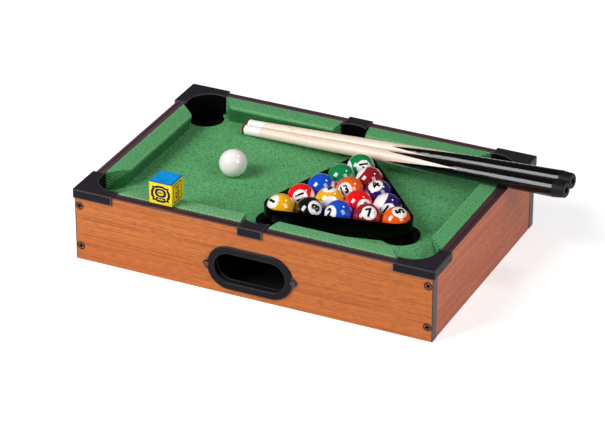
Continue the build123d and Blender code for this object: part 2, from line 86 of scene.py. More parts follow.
# two softboxes either side of the camera and a small lamp behind, as the balls reflect them
studio = {
    "left": {"azimuth": -37, "elevation": 38, "reach": 1.7, "wide": 0.8, "tall": 1.15, "power": 27.0},
    "right": {"azimuth": 71, "elevation": 38, "reach": 1.7, "wide": 0.8, "tall": 1.0, "power": 10.0},
    "rear": {"azimuth": 129, "elevation": 55, "reach": 1.7, "wide": 0.24, "tall": 0.24, "power": 3.0},
    "aim": (0, 0, 0.03), "world": 0.08,
}
for side in ("left", "right", "rear"):
    spec = studio[side]
    lamp = newObject("lamp_" + side, bpy.data.lights.new("lamp_" + side, "AREA"))
    lamp.data.shape = "RECTANGLE"
    lamp.data.size = spec["wide"]
    lamp.data.size_y = spec["tall"]
    lamp.data.energy = spec["power"]
    aimAt(lamp, fromAbove(spec["azimuth"], spec["elevation"]) * spec["reach"], studio["aim"])
world = bpy.data.worlds.new("studio_fill")
scene.world = world
world.use_nodes = True
world.node_tree.nodes["Background"].inputs["Color"].default_value = (1, 1, 1, 1)
world.node_tree.nodes["Background"].inputs["Strength"].default_value = studio["world"]
print("camera and lamps set")


def hexColour(code):
    channels = [int(code[i:i + 2], 16) / 255 for i in (1, 3, 5)]
    return tuple(c / 12.92 if c <= 0.04045 else ((c + 0.055) / 1.055) ** 2.4 for c in channels) + (1.0,)


def perMetre(size):
    return 1000.0 / size  # pattern scale for a feature of so many millimetres


def grainScale(along, length, width):
    # pattern scale for a feature that is long on one axis
    return [perMetre(length if axis == along else width) for axis in "xyz"]


def feed(tree, node, inputs):
    # a node given as an input stands for its first live output, and text for a colour
    for key, value in inputs.items():
        if isinstance(value, bpy.types.Node):
            value = next(output for output in value.outputs if output.enabled)
        if isinstance(value, bpy.types.NodeSocket):
            tree.links.new(value, node.inputs[key])
        else:
            node.inputs[key].default_value = hexColour(value) if isinstance(value, str) else value
    return node


def addNode(tree, kind, inputs=None, **settings):
    # 6 and 7 are the colours of a Mix node, 2 and 3 its numbers
    inputs = inputs or {}
    node = tree.nodes.new(("ShaderNode" if tree.type == "SHADER" else "") + kind)
    if kind == "Mix":
        node.data_type = "RGBA" if 6 in inputs else "FLOAT"
    for name, value in settings.items():
        setattr(node, name, value)
    return feed(tree, node, inputs)


def startMaterial(name, coordinate="Object"):
    # a new material comes with a Principled BSDF, which most finishes feed last
    material = bpy.data.materials.new(name)
    material.use_nodes = True
    tree = material.node_tree
    return material, tree, addNode(tree, "TexCoord").outputs[coordinate]


def laidOver(tree, under, over, pattern, start, end, most=1.0):
    # one colour over another, up to the share most, as the pattern's value goes from start to end
    share = addNode(tree, "MapRange", {"Value": pattern, "From Min": start, "From Max": end, "To Max": most})
    return addNode(tree, "Mix", {0: share, 6: under, 7: over})


def surfaced(material, colour, gloss, relief, sockets):
    # gloss is a pattern and the roughness of its lows and highs; relief a pattern, its strength and depth
    tree = material.node_tree
    rough = addNode(tree, "MapRange", {
        "Value": gloss[0], "From Min": 0.3, "From Max": 0.7, "To Min": gloss[1], "To Max": gloss[2]})
    bump = addNode(tree, "Bump", {"Height": relief[0], "Strength": relief[1], "Distance": relief[2]})
    feed(tree, tree.nodes["Principled BSDF"], {
        "Base Color": colour, "Roughness": rough, "Normal": bump, **sockets})
    return material


# Wood-print foil on fibreboard: fine cherry lines along the board under a satin lacquer, raw brown on cut
# edges, and painted shade, near black, on the inside faces
foil = {
    "x": {"mid": "#c26a31", "pale": "#cb773a", "deep": "#994a20", "pore": "#843e17",
          "outer": 0.11495, "inner": 0.10605},
    # the short boards take the same foil in redder tones, painted to stand in for the different light on the
    # ends
    "y": {"mid": "#ca5f2f", "pale": "#d46f40", "deep": "#9d431f", "pore": "#863614",
          "outer": 0.17065, "inner": 0.16175},
    # inside and fibre are the painted shade of the inside faces
    "raw": "#7a5030", "fleck": "#4e321f", "inside": "#15100e", "fibre": "#1d1612",
    "line": (120, 1.1),  # length and width in millimetres; the print is finer, drawn so that it shows
    "band": (260, 9),
    "speck": (7, 0.7),
    "shadedTo": 0.045,  # half the length of the blacked cut edge
}


def foiledBoard(name, along):
    tones = foil[along]
    material, tree, place = startMaterial(name)
    lines, bands, specks = [addNode(tree, "TexNoise", {
        "Vector": addNode(tree, "Mapping", {"Vector": place, "Scale": grainScale(along, *foil[pattern])}),
        "Scale": 1.0, "Detail": detail, "Roughness": roughness, "Distortion": bend})
        for pattern, detail, roughness, bend in (("line", 5.0, 0.68, 0.25), ("band", 2.0, 0.5, 0.6),
                                                 ("speck", 2.0, 0.5, 0.0))]
    grain = laidOver(tree, tones["mid"], tones["pale"], bands, 0.3, 0.7)
    grain = laidOver(tree, grain, tones["deep"], lines, 0.5, 0.66, 0.85)
    grain = laidOver(tree, grain, tones["pore"], specks, 0.48, 0.68, 0.48)
    fibres = addNode(tree, "TexNoise", {"Vector": place, "Scale": perMetre(1.2), "Detail": 3.0})
    raw = laidOver(tree, foil["raw"], foil["fleck"], fibres, 0.4, 0.7)
    # painted shade: the inside faces are drawn near black with dark flecks
    shadedInside = laidOver(tree, foil["inside"], foil["fibre"], fibres, 0.4, 0.7)
    axes = addNode(tree, "SeparateXYZ", {0: place})
    outward = addNode(tree, "Math", {0: axes.outputs["Y" if along == "x" else "X"]}, operation="ABSOLUTE")
    cut = addNode(tree, "Math", {0: outward, 1: tones["inner"]}, operation="GREATER_THAN")
    covered = addNode(tree, "Math", {0: outward, 1: tones["outer"]}, operation="GREATER_THAN")
    # painted shade: the ball return's cut edge is drawn near black like the inside
    sideways = addNode(tree, "Math", {0: axes.outputs["X"]}, operation="ABSOLUTE")
    outside = addNode(tree, "Math", {0: sideways, 1: foil["shadedTo"]}, operation="GREATER_THAN")
    browned = addNode(tree, "Math", {0: cut, 1: outside}, operation="MULTIPLY")
    bare = addNode(tree, "Mix", {0: browned, 6: shadedInside, 7: raw})
    colour = addNode(tree, "Mix", {0: covered, 6: bare, 7: grain})
    satin = addNode(tree, "MapRange", {
        "Value": lines, "From Min": 0.3, "From Max": 0.8, "To Min": 0.38, "To Max": 0.5})
    rough = addNode(tree, "Mix", {0: covered, 2: 0.85, 3: satin})
    relief = addNode(tree, "Bump", {"Strength": 0.25, "Distance": 0.00004, "Height": specks})
    feed(tree, tree.nodes["Principled BSDF"], {
        "Base Color": colour, "Roughness": rough, "IOR": 1.5, "Specular IOR Level": 0.25, "Normal": relief})
    return material


# Printed edging foil: dark red-brown or black, satin, with faint long streaks and a thin dark line along it
edging = {"streak": (40, 0.8), "darkLineHalf": 0.0006, "darkLineColour": "#22141a"}


def edgingFoil(name, colours, along, darkLineAt):
    material, tree, place = startMaterial(name)
    streaks = addNode(tree, "TexNoise", {
        "Vector": addNode(tree, "Mapping", {"Vector": place, "Scale": grainScale(along, *edging["streak"])}),
        "Scale": 1.0, "Detail": 3.0})
    colour = laidOver(tree, colours[0], colours[1], streaks, 0.32, 0.7)
    axes = addNode(tree, "SeparateXYZ", {0: place})
    outward = addNode(tree, "Math", {0: axes.outputs["Y" if along == "x" else "X"]}, operation="ABSOLUTE")
    onDarkLine = addNode(tree, "Math", {0: outward, 1: darkLineAt, 2: edging["darkLineHalf"]}, operation="COMPARE")
    colour = addNode(tree, "Mix", {0: onDarkLine, 6: colour, 7: edging["darkLineColour"]})
    return surfaced(material, colour, (streaks, 0.26, 0.36), (streaks, 0.2, 0.00003),
                    {"IOR": 1.5, "Specular IOR Level": 0.3})


# Hardboard: pressed fibre, dull, drawn nearly black inside the case as painted shade
def stainedHardboard(name):
    material, tree, place = startMaterial(name)
    fibre = addNode(tree, "TexNoise", {
        "Vector": place, "Scale": perMetre(1.6), "Detail": 5.0, "Roughness": 0.7})
    colour = laidOver(tree, "#1f1714", "#120d0c", fibre, 0.35, 0.68)
    return surfaced(material, colour, (fibre, 0.78, 0.92), (fibre, 0.4, 0.0001),
                    {"IOR": 1.45, "Specular IOR Level": 0.2})


caseInside = {"X": 0.1616, "Y": 0.1059, "Z": 0.0685}  # within the boards and below the caps


# Injection-moulded plastic: near black, a fine spark-eroded grain breaks the gloss, and a paler grey along
# the edges is a painted highlight
def mouldedPlastic(name, colours, roughness, specular, grain, edge):
    material, tree, place = startMaterial(name)
    spark = addNode(tree, "TexNoise", {"Vector": place, "Scale": perMetre(grain), "Detail": 2.0})
    cloud = addNode(tree, "TexNoise", {"Vector": place, "Scale": perMetre(18), "Detail": 3.0})
    speckle = addNode(tree, "Math", {0: spark, 1: 0.6, 2: cloud}, operation="MULTIPLY_ADD")
    colour = laidOver(tree, colours["deep"], colours["pale"], speckle, 0.6, 1.0)
    # what faces up is drawn paler, partly dust and partly painted light from above
    facing = addNode(tree, "NewGeometry").outputs["Normal"]
    upward = addNode(tree, "SeparateXYZ", {0: facing}).outputs["Z"]
    colour = laidOver(tree, colour, colours["dust"], upward, 0.6, 0.95)
    # a rounded normal parts from the true one along the edges, where the paler grey is a painted highlight
    rounded = addNode(tree, "Bevel", {"Radius": edge}, samples=8)
    parting = addNode(tree, "VectorMath", {0: rounded, 1: facing}, operation="DOT_PRODUCT")
    colour = laidOver(tree, colour, colours["edge"], parting, 0.999, 0.9)
    # painted shade: inside the case and the pockets it is drawn black
    axes = addNode(tree, "SeparateXYZ", {0: place})
    shaded = 1.0
    for axis, limit in caseInside.items():
        offset = addNode(tree, "Math", {0: axes.outputs[axis]}, operation="ABSOLUTE")
        within = addNode(tree, "Math", {0: offset, 1: limit}, operation="LESS_THAN")
        shaded = addNode(tree, "Math", {0: within, 1: shaded}, operation="MULTIPLY")
    colour = addNode(tree, "Mix", {0: shaded, 6: colour, 7: "#030303"})
    return surfaced(material, colour, (cloud, roughness - 0.05, roughness + 0.05), (spark, 0.4, 0.00004),
                    {"IOR": 1.52, "Specular IOR Level": specular})


# Napped polyester cloth: twill under short fibre; rubbed edges pale with wear and painted sheen; undercut in
# painted shade
cloth = {
    "ground": "#37824a",
    "nap": "#6fb87a",
    "shade": "#256b37",
    # the next tone is painted shade on the undercut face
    "deep": "#085f2a",
    # the next tone is the pale of rubbed edges: partly wear, partly painted sheen
    "rubbedAndSheen": "#a4d8a6",
    "ribPitch": 2.3,  # millimetres; the real twill is finer, drawn coarse enough to show
    "fibre": 1.25,  # the same
    "mottle": 9.0,
}


def nappedCloth(name, coordinate, turn, ribDepth, ribShade, fuzz, shadeAndWear):
    # the last argument: the piece carries undercut (painted shade), rubbed edge (wear and painted sheen) and
    # cut end
    material, tree, place = startMaterial(name, coordinate)
    turned = addNode(tree, "Mapping", {"Vector": place, "Rotation": (0, 0, radians(turn))})
    # a wave texture repeats every pi / 10 units
    ribs = addNode(tree, "TexWave", {
        "Vector": turned, "Scale": perMetre(cloth["ribPitch"]) * pi / 10, "Distortion": 0.8,
        "Detail": 2.0, "Detail Scale": 1.5}, wave_type="BANDS", bands_direction="X").outputs["Fac"]
    fibre = addNode(tree, "TexNoise", {
        "Vector": addNode(tree, "Mapping", {"Vector": turned, "Scale": (1.0, 0.75, 1.0)}),
        "Scale": perMetre(cloth["fibre"]), "Detail": 2.0, "Roughness": 0.7})
    mottle = addNode(tree, "TexNoise", {"Vector": place, "Scale": perMetre(cloth["mottle"]), "Detail": 3.0})
    furring = addNode(tree, "MapRange", {"Value": fibre, "From Min": 0.34, "From Max": 0.62})
    ribbing = addNode(tree, "MapRange", {
        "Value": ribs, "From Min": 0.75, "From Max": 0.1, "To Max": ribShade})
    colour = addNode(tree, "Mix", {0: furring, 6: cloth["ground"], 7: cloth["nap"]})
    if shadeAndWear:
        shadeRubEndChannels = addNode(tree, "SeparateColor", {0: addNode(tree, "Attribute", attribute_name="shadeRubEnd")})
        # painted shade: the undercut is drawn deep green
        undercutShade = addNode(tree, "Math", {0: shadeRubEndChannels.outputs[0], 1: 0.85}, operation="MULTIPLY")
        rubbedAndSheen = addNode(tree, "Math", {0: shadeRubEndChannels.outputs[1], 1: furring}, operation="MULTIPLY")
        ends = addNode(tree, "MapRange", {"Value": shadeRubEndChannels.outputs[2], "To Min": 0.8, "To Max": 1.3})
        ribbing = addNode(tree, "Math", {0: ribbing, 1: ends}, operation="MULTIPLY", use_clamp=True)
        colour = addNode(tree, "Mix", {0: undercutShade, 6: colour, 7: cloth["deep"]})
        # rubbed edges are drawn pale, partly wear and partly painted sheen
        colour = addNode(tree, "Mix", {0: rubbedAndSheen, 6: colour, 7: cloth["rubbedAndSheen"]})
    colour = addNode(tree, "Mix", {0: ribbing, 6: colour, 7: cloth["shade"]})
    colour = laidOver(tree, colour, cloth["nap"], mottle, 0.35, 0.7, 0.12)
    height = addNode(tree, "Math", {0: ribs, 1: fibre}, operation="ADD")
    return surfaced(material, colour, (fibre, 0.96, 0.84), (height, 0.8, ribDepth), {
        "IOR": 1.45, "Specular IOR Level": 0.2, "Sheen Weight": fuzz, "Sheen Roughness": 0.4,
        "Sheen Tint": "#b9e0bd"})


# Bronzed steel: brown satin heads, with painted shade in the cross and round the rim
def bronzedSteel(name, colours):
    material, tree, place = startMaterial(name)
    rub = addNode(tree, "TexNoise", {"Vector": place, "Scale": perMetre(1.3), "Detail": 4.0})
    recessShade = addNode(tree, "Attribute", attribute_name="recessShade").outputs["Fac"]
    metal = laidOver(tree, colours[0], colours[1], rub, 0.38, 0.66)
    # painted shade: the marked rim and recess are drawn near black
    colour = addNode(tree, "Mix", {0: recessShade, 6: metal, 7: "#17110f"})
    return surfaced(material, colour, (rub, 0.58, 0.42), (rub, 0.3, 0.00004), {"Metallic": 1.0})


# how the cues lie, in degrees, so that the grain runs along them
cueLie = {"near": {"yaw": -6.0, "pitch": 4.81}, "far": {"yaw": -4.7, "pitch": 4.81}}


def alongCue(tree, place, lie):
    level = addNode(tree, "Mapping", {"Vector": place, "Rotation": (0, 0, radians(-lie["yaw"]))})
    return addNode(tree, "Mapping", {"Vector": level, "Rotation": (0, radians(lie["pitch"]), 0)})


# Lacquered maple: pale, close straight grain with short flecks under a clear gloss
def lacqueredMaple(name, lie):
    material, tree, place = startMaterial(name)
    axis = alongCue(tree, place, lie)
    grain = addNode(tree, "TexNoise", {
        "Vector": addNode(tree, "Mapping", {"Vector": axis, "Scale": grainScale("x", 70, 1.3)}),
        "Scale": 1.0, "Detail": 4.0, "Distortion": 0.3})
    fleck = addNode(tree, "TexNoise", {
        "Vector": addNode(tree, "Mapping", {"Vector": axis, "Scale": grainScale("x", 7, 0.8)}),
        "Scale": 1.0, "Detail": 2.0})
    colour = laidOver(tree, "#fce8d8", "#eccaae", grain, 0.38, 0.74)
    colour = laidOver(tree, colour, "#b98761", fleck, 0.66, 0.74, 0.8)
    return surfaced(material, colour, (grain, 0.36, 0.44), (grain, 0.15, 0.00004),
                    {"IOR": 1.5, "Coat Weight": 0.2, "Coat Roughness": 0.16})


# Sprayed black lacquer over turned wood: deep gloss, a faint ripple along the cue
def blackLacquer(name, lie):
    material, tree, place = startMaterial(name)
    axis = alongCue(tree, place, lie)
    ripple = addNode(tree, "TexNoise", {
        "Vector": addNode(tree, "Mapping", {"Vector": axis, "Scale": grainScale("x", 45, 2.2)}),
        "Scale": 1.0, "Detail": 3.0})
    peel = addNode(tree, "TexNoise", {"Vector": place, "Scale": perMetre(1.6), "Detail": 2.0})
    height = addNode(tree, "Math", {0: peel, 1: ripple}, operation="ADD")
    colour = laidOver(tree, "#050406", "#0b0a0d", ripple, 0.3, 0.7)
    return surfaced(material, colour, (ripple, 0.07, 0.12), (height, 0.6, 0.00008),
                    {"IOR": 1.52, "Specular IOR Level": 0.42})


# A turned, pressed or printed finish: two tones in a fine grain with its own relief
def grainedFinish(name, colours, grain, roughness, depth, specular=0.5):
    material, tree, place = startMaterial(name)
    fine = addNode(tree, "TexNoise", {
        "Vector": place, "Scale": perMetre(grain), "Detail": 4.0, "Roughness": 0.65})
    broad = addNode(tree, "TexNoise", {"Vector": place, "Scale": perMetre(grain * 9), "Detail": 2.0})
    both = addNode(tree, "Math", {0: fine, 1: 0.6, 2: broad}, operation="MULTIPLY_ADD")
    colour = laidOver(tree, colours[0], colours[1], both, 0.62, 1.0)
    return surfaced(material, colour, (fine, roughness - 0.06, roughness + 0.06), (fine, 0.5, depth),
                    {"IOR": 1.5, "Specular IOR Level": specular})


# Pressed chalk: dusty blue, drawn darker round its rim
def pressedChalk(name):
    low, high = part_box("chalk_block")
    material, tree, place = startMaterial(name)
    local = addNode(tree, "Mapping", {"Vector": place, "Location": tuple((low + high) / -2)})
    axes = addNode(tree, "SeparateXYZ", {0: local})
    across = addNode(tree, "Math", {0: axes.outputs["X"]}, operation="ABSOLUTE")
    deep = addNode(tree, "Math", {0: axes.outputs["Y"]}, operation="ABSOLUTE")
    reach = addNode(tree, "Math", {0: across, 1: deep}, operation="MAXIMUM")
    dust = addNode(tree, "TexNoise", {
        "Vector": place, "Scale": perMetre(0.8), "Detail": 4.0, "Roughness": 0.7})
    clumps = addNode(tree, "TexNoise", {"Vector": place, "Scale": perMetre(5), "Detail": 2.0})
    colour = laidOver(tree, "#0089d4", "#0096e0", clumps, 0.35, 0.7)
    colour = laidOver(tree, colour, "#004a9a", reach, 0.0096, 0.0105, 0.75)
    return surfaced(material, colour, (dust, 0.82, 0.94), (dust, 0.4, 0.00008),
                    {"IOR": 1.5, "Specular IOR Level": 0.2})


# Carried-over nodes and the finish each one shows
longFoil = foiledBoard("cherry_foil_long_boards", "x")
shortFoil = foiledBoard("cherry_foil_short_boards", "y")
# moulded blacks: the body's two tones, a paler top of dust and painted light, and a painted edge highlight
blacks = {
    "pocket": {"deep": "#0a080c", "pale": "#171319", "dust": "#28242a", "edge": "#66626a"},
    "bezel": {"deep": "#080609", "pale": "#120e14", "dust": "#1c181d", "edge": "#58565e"},
    "rack": {"deep": "#020202", "pale": "#040404", "dust": "#191619", "edge": "#57545a"},
}
capPlastic = mouldedPlastic("moulded_abs_pockets", blacks["pocket"], 0.4, 0.12, 0.8, 0.0017)
leather = grainedFinish("pressed_leather_tip", ("#7a1f22", "#56100f"), 0.3, 0.75, 0.0001, 0.2)
ferrule = grainedFinish("turned_ferrule_plastic", ("#f6efed", "#fffbf9"), 0.6, 0.32, 0.00001)
rubber = grainedFinish("moulded_rubber_bumper", ("#080809", "#131214"), 0.4, 0.55, 0.00004, 0.25)
nodeFinish = {
    "front_panel": longFoil, "rear_panel": longFoil, "left_panel": shortFoil, "right_panel": shortFoil,
    # the rear and left rails take paler tones of the same foil than the front and right: painted light
    "front_rail_edging": edgingFoil("rail_foil_front", ("#472a2f", "#523439"), "x", 0.1114),
    "rear_rail_edging": edgingFoil("rail_foil_rear", ("#523840", "#5f464d"), "x", 0.1114),
    "left_rail_edging": edgingFoil("rail_foil_left", ("#523840", "#5f464d"), "y", 0.1671),
    "right_rail_edging": edgingFoil("rail_foil_right", ("#472a2f", "#523439"), "y", 0.1671),
    "panel_end_edging": edgingFoil("black_edging_strip", ("#17131a", "#241e26"), "z", 0.0),
    "bed_board": stainedHardboard("painted_shade_hardboard_bed"),
    "bottom_board": stainedHardboard("painted_shade_hardboard_bottom"),
    "return_bezel": mouldedPlastic("moulded_abs_bezel", blacks["bezel"], 0.32, 0.12, 0.9, 0.0016),
    "rack": mouldedPlastic("moulded_styrene_rack", blacks["rack"], 0.2, 0.08, 3.0, 0.0009),
    "chalk_block": pressedChalk("pressed_blue_chalk"),
    "chalk_label": grainedFinish("coated_paper_label", ("#f1d000", "#ffe31a"), 0.5, 0.45, 0.00003, 0.3),
}
for corner in ("front_left", "front_right", "rear_left", "rear_right", "front_side", "rear_side"):
    nodeFinish[corner + "_pocket"] = capPlastic
for cue, lie in cueLie.items():
    nodeFinish[cue + "_cue_tip"] = leather
    nodeFinish[cue + "_cue_ferrule"] = ferrule
    nodeFinish[cue + "_cue_bumper"] = rubber
    nodeFinish[cue + "_cue_shaft"] = lacqueredMaple("lacquered_maple_" + cue, lie)
    nodeFinish[cue + "_cue_butt"] = blackLacquer("sprayed_black_lacquer_" + cue, lie)
for name, material in nodeFinish.items():
    nodes[name].data.materials.clear()
    nodes[name].data.materials.append(material)
print("finishes on", len(nodeFinish), "carried-over nodes")


def showMesh(name, mesh, material, smooth):
    mesh.materials.append(material)
    mesh.polygons.foreach_set("use_smooth", [smooth] * len(mesh.polygons))
    return newObject(name, mesh)


def evaluated(thing):
    return thing.evaluated_get(bpy.context.evaluated_depsgraph_get())


def newPiece(name, points, faces, material, smooth=True):
    mesh = bpy.data.meshes.new(name)
    mesh.from_pydata([tuple(p) for p in points], [], faces)
    mesh.update()
    return showMesh(name, mesh, material, smooth)


def pieceFromWork(name, work, material, smooth=True):
    bmesh.ops.recalc_face_normals(work, faces=work.faces[:])
    mesh = bpy.data.meshes.new(name)
    work.to_mesh(mesh)
    work.free()
    return showMesh(name, mesh, material, smooth)


squareCorners = ((-1, -1), (1, -1), (1, 1), (-1, 1))


def bridge(work, lower, upper):
    # a closed band of faces between two rings of as many points
    count = len(lower)
    return [work.faces.new([lower[i], lower[(i + 1) % count], upper[(i + 1) % count], upper[i]])
            for i in range(count)]


def rimEdges(work, ring):
    return [work.edges.get((ring[i], ring[(i + 1) % len(ring)])) for i in range(len(ring))]


# Bed cloth: one sheet glued flat to the bed, its edge rolled down into each drop hole
bedSheet = {
    "halfLength": 0.1615, "halfWidth": 0.1058,
    "low": 0.0500, "top": 0.0505,
    "corner": {"centre": (0.14575, 0.09005), "radius": 0.0172, "notch": (0.13445, 0.07875)},
    "side": {"centreY": 0.0910, "radius": 0.0155, "halfNotch": 0.0117},
    "arcSteps": 48, "tuck": 0.0022, "tuckThick": 0.0004, "chamfer": 0.0001,
    "ease": 4,  # points to either side over which the roll begins
    "rounding": ((0.0003, 0.0), (0.00009, 0.00008), (0.0, 0.00025)),  # in from the edge, down from the top
    "flat": (0.323, 0.2116), "area": 0.06302,
}
bedFelt = nappedCloth("napped_cloth_bed", "Object", 38, 0.00016, 0.15, 0.1, False)


def arcPoints(centre, radius, start, end, steps):
    # clockwise, so that a drop hole's arc bulges towards the middle of the table
    first = atan2(start[1] - centre[1], start[0] - centre[0])
    last = atan2(end[1] - centre[1], end[0] - centre[0])
    while last > first:
        last -= 2 * pi
    return [(centre[0] + radius * cos(first + (last - first) * i / steps),
             centre[1] + radius * sin(first + (last - first) * i / steps)) for i in range(steps + 1)]


def quarterOutline():
    # from the right end round the corner to the middle of the rear side; True marks a drop hole's arc
    corner, side = bedSheet["corner"], bedSheet["side"]
    cx, cy = corner["centre"]
    nx, ny = corner["notch"]
    r, w = corner["radius"], side["halfNotch"]
    start = (cx + sqrt(r * r - (ny - cy) ** 2), ny)
    end = (nx, cy + sqrt(r * r - (nx - cx) ** 2))
    points = [((bedSheet["halfLength"], ny), False)]
    points += [(p, True) for p in arcPoints(corner["centre"], r, start, end, bedSheet["arcSteps"])]
    points += [((nx, bedSheet["halfWidth"]), False), ((w, bedSheet["halfWidth"]), False)]
    edge = (w, side["centreY"] + sqrt(side["radius"] ** 2 - w * w))
    low = (0, side["centreY"] - side["radius"])
    halfHole = arcPoints((0, side["centreY"]), side["radius"], edge, low, bedSheet["arcSteps"] // 2)
    points += [(p, True) for p in halfHole]
    return points


def wholeOutline():
    # the quarter mirrored twice, without its doubled points, running anticlockwise
    quarter = quarterOutline()
    halfLoop = quarter + [((-x, y), onArc) for (x, y), onArc in quarter[::-1][1:]]
    loop = halfLoop + [((x, -y), onArc) for (x, y), onArc in halfLoop[::-1]]
    kept = []
    for (x, y), onArc in loop:
        if not kept or hypot(x - kept[-1][0][0], y - kept[-1][0][1]) > 1e-6:
            kept.append(((x, y), onArc))
    return kept


def movedIn(loop, distance):
    # each outline point moved towards the cloth's own side
    moved = []
    for i, ((x, y), onArc) in enumerate(loop):
        (ax, ay), (bx, by) = loop[i - 1][0], loop[(i + 1) % len(loop)][0]
        size = hypot(bx - ax, by - ay) or 1.0
        moved.append((x - (by - ay) / size * distance, y + (bx - ax) / size * distance))
    return moved


def buildBedCloth():
    loop = wholeOutline()
    count = len(loop)
    top, low, tuck = bedSheet["top"], bedSheet["low"], bedSheet["tuck"]
    drop = []  # how far the edge is rolled down at each point
    for i in range(count):
        near = [loop[(i + k) % count][1] for k in range(-bedSheet["ease"], bedSheet["ease"] + 1)]
        drop.append(sum(near) / len(near) if loop[i][1] else 0.0)
    plain = [p for p, onArc in loop]
    outer = movedIn(loop, -bedSheet["tuckThick"])
    lip = [(x + (ox - x) * d, y + (oy - y) * d) for (x, y), (ox, oy), d in zip(plain, outer, drop)]
    rings = [[(x, y, top - down) for x, y in movedIn(loop, back)] for back, down in bedSheet["rounding"]]
    rings += [
        [(x, y, low + bedSheet["chamfer"] * (1 - d)) for (x, y), d in zip(lip, drop)],
        [(x, y, low - tuck * d) for (x, y), d in zip(lip, drop)],
        [(x, y, low - tuck * d) for (x, y), d in zip(plain, drop)],
        [(x, y, low) for x, y in plain],
    ]
    work = bmesh.new()
    made = [[work.verts.new(p) for p in ring] for ring in rings]
    for upper, lower in zip(made, made[1:]):
        bridge(work, upper, lower)
    for ring in (made[0], made[-1]):
        bmesh.ops.triangle_fill(work, use_beauty=True, use_dissolve=False, edges=rimEdges(work, ring))
    bmesh.ops.remove_doubles(work, verts=work.verts[:], dist=1e-7)
    return pieceFromWork("bed_cloth_sheet", work, bedFelt, smooth=False)


bedCloth = buildBedCloth()
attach(bedCloth, "table")
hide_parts("bed_cloth")
print("bed cloth:", len(bedCloth.data.polygons), "faces")

# Cushions: cloth pulled over a shaped strip, blown tight by a short cloth simulation
cushionSpec = {
    "wall": {"x": 0.1617, "y": 0.1060},  # inner faces of the short and long boards
    # the section, out from the board and up, a little inside its final form
    "backTop": (0.00015, 0.0690), "backLow": (0.00015, 0.0507), "foot": (0.0120, 0.0507),
    "noseLow": (0.0168, 0.0645), "noseMid": (0.01745, 0.0664), "noseTop": (0.0161, 0.0681),
    "crown": (0.0080, 0.06915),
    "steps": (10, 8, 12, 8, 14),  # points on the back, foot, face, nose and crown
    "spacing": 0.0016,
    "edgeRound": 0.0009, "roundSteps": 4, "meanRadius": 0.0085,
    "capRings": 5, "capMargin": 0.6,  # rings that close an end, and the room on either side of them
    # the undercut's shade is painted; the nose's rubbing is partly wear and partly painted sheen
    "noseFade": 1.6, "noseRubAndSheen": 0.5,  # how fast the undercut's shade fades up the nose, and its least rubbing
    "gluedBack": 0.0004, "gluedLow": 0.0509,  # nearer the board or lower than these the cloth is glued
    "simScale": 10.0, "frames": 20,
    "blow": {"quality": 5, "mass": 0.3, "tension_stiffness": 15, "compression_stiffness": 15,
             "bending_stiffness": 0.5, "use_pressure": True, "uniform_pressure_force": 4.0,
             "vertex_group_mass": "glued"},
    "most": 0.0005,  # the furthest that a point may swell
    "nearest": 0.00012, "highest": 0.0695,
}
cushionFelt = nappedCloth("napped_cloth_cushions", "UV", -50, 0.00026, 0.6, 0.2, True)


def arcThrough(a, b, c, steps):
    # points from a to c on the circle through b, without the last
    (ax, ay), (bx, by), (cx, cy) = a, b, c
    aa, bb, cc = ax * ax + ay * ay, bx * bx + by * by, cx * cx + cy * cy
    d = 2 * (ax * (by - cy) + bx * (cy - ay) + cx * (ay - by))
    ux = (aa * (by - cy) + bb * (cy - ay) + cc * (ay - by)) / d
    uy = (aa * (cx - bx) + bb * (ax - cx) + cc * (bx - ax)) / d
    radius = hypot(ax - ux, ay - uy)
    first, last = atan2(ay - uy, ax - ux), atan2(cy - uy, cx - ux)
    turn = (last - first + pi) % (2 * pi) - pi
    return [(ux + radius * cos(first + turn * i / steps), uy + radius * sin(first + turn * i / steps))
            for i in range(steps)]


def straight(a, b, steps):
    return [(a[0] + (b[0] - a[0]) * i / steps, a[1] + (b[1] - a[1]) * i / steps) for i in range(steps)]


def cushionLoop():
    # the section's points, each with its undercut (painted shade) and rubbed edge (wear and painted sheen)
    s, n = cushionSpec, cushionSpec["steps"]
    loop = [(p, 0.0, 0.0) for p in straight(s["backTop"], s["backLow"], n[0])]
    loop += [(p, 1.0, 0.0) for p in straight(s["backLow"], s["foot"], n[1])]
    loop += [(p, 1.0, 0.0) for p in straight(s["foot"], s["noseLow"], n[2])]
    nose = arcThrough(s["noseLow"], s["noseMid"], s["noseTop"], n[3])
    loop += [(p, max(0.0, 1 - s["noseFade"] * i / n[3]), (i / n[3]) ** 2) for i, p in enumerate(nose)]
    crown = arcThrough(s["noseTop"], s["crown"], s["backTop"], n[4])
    loop += [(p, 0.0, 1.0 if i in (0, n[4] - 1) else 0.0) for i, p in enumerate(crown)]
    loop[0] = (loop[0][0], 0.0, 1.0)
    return loop


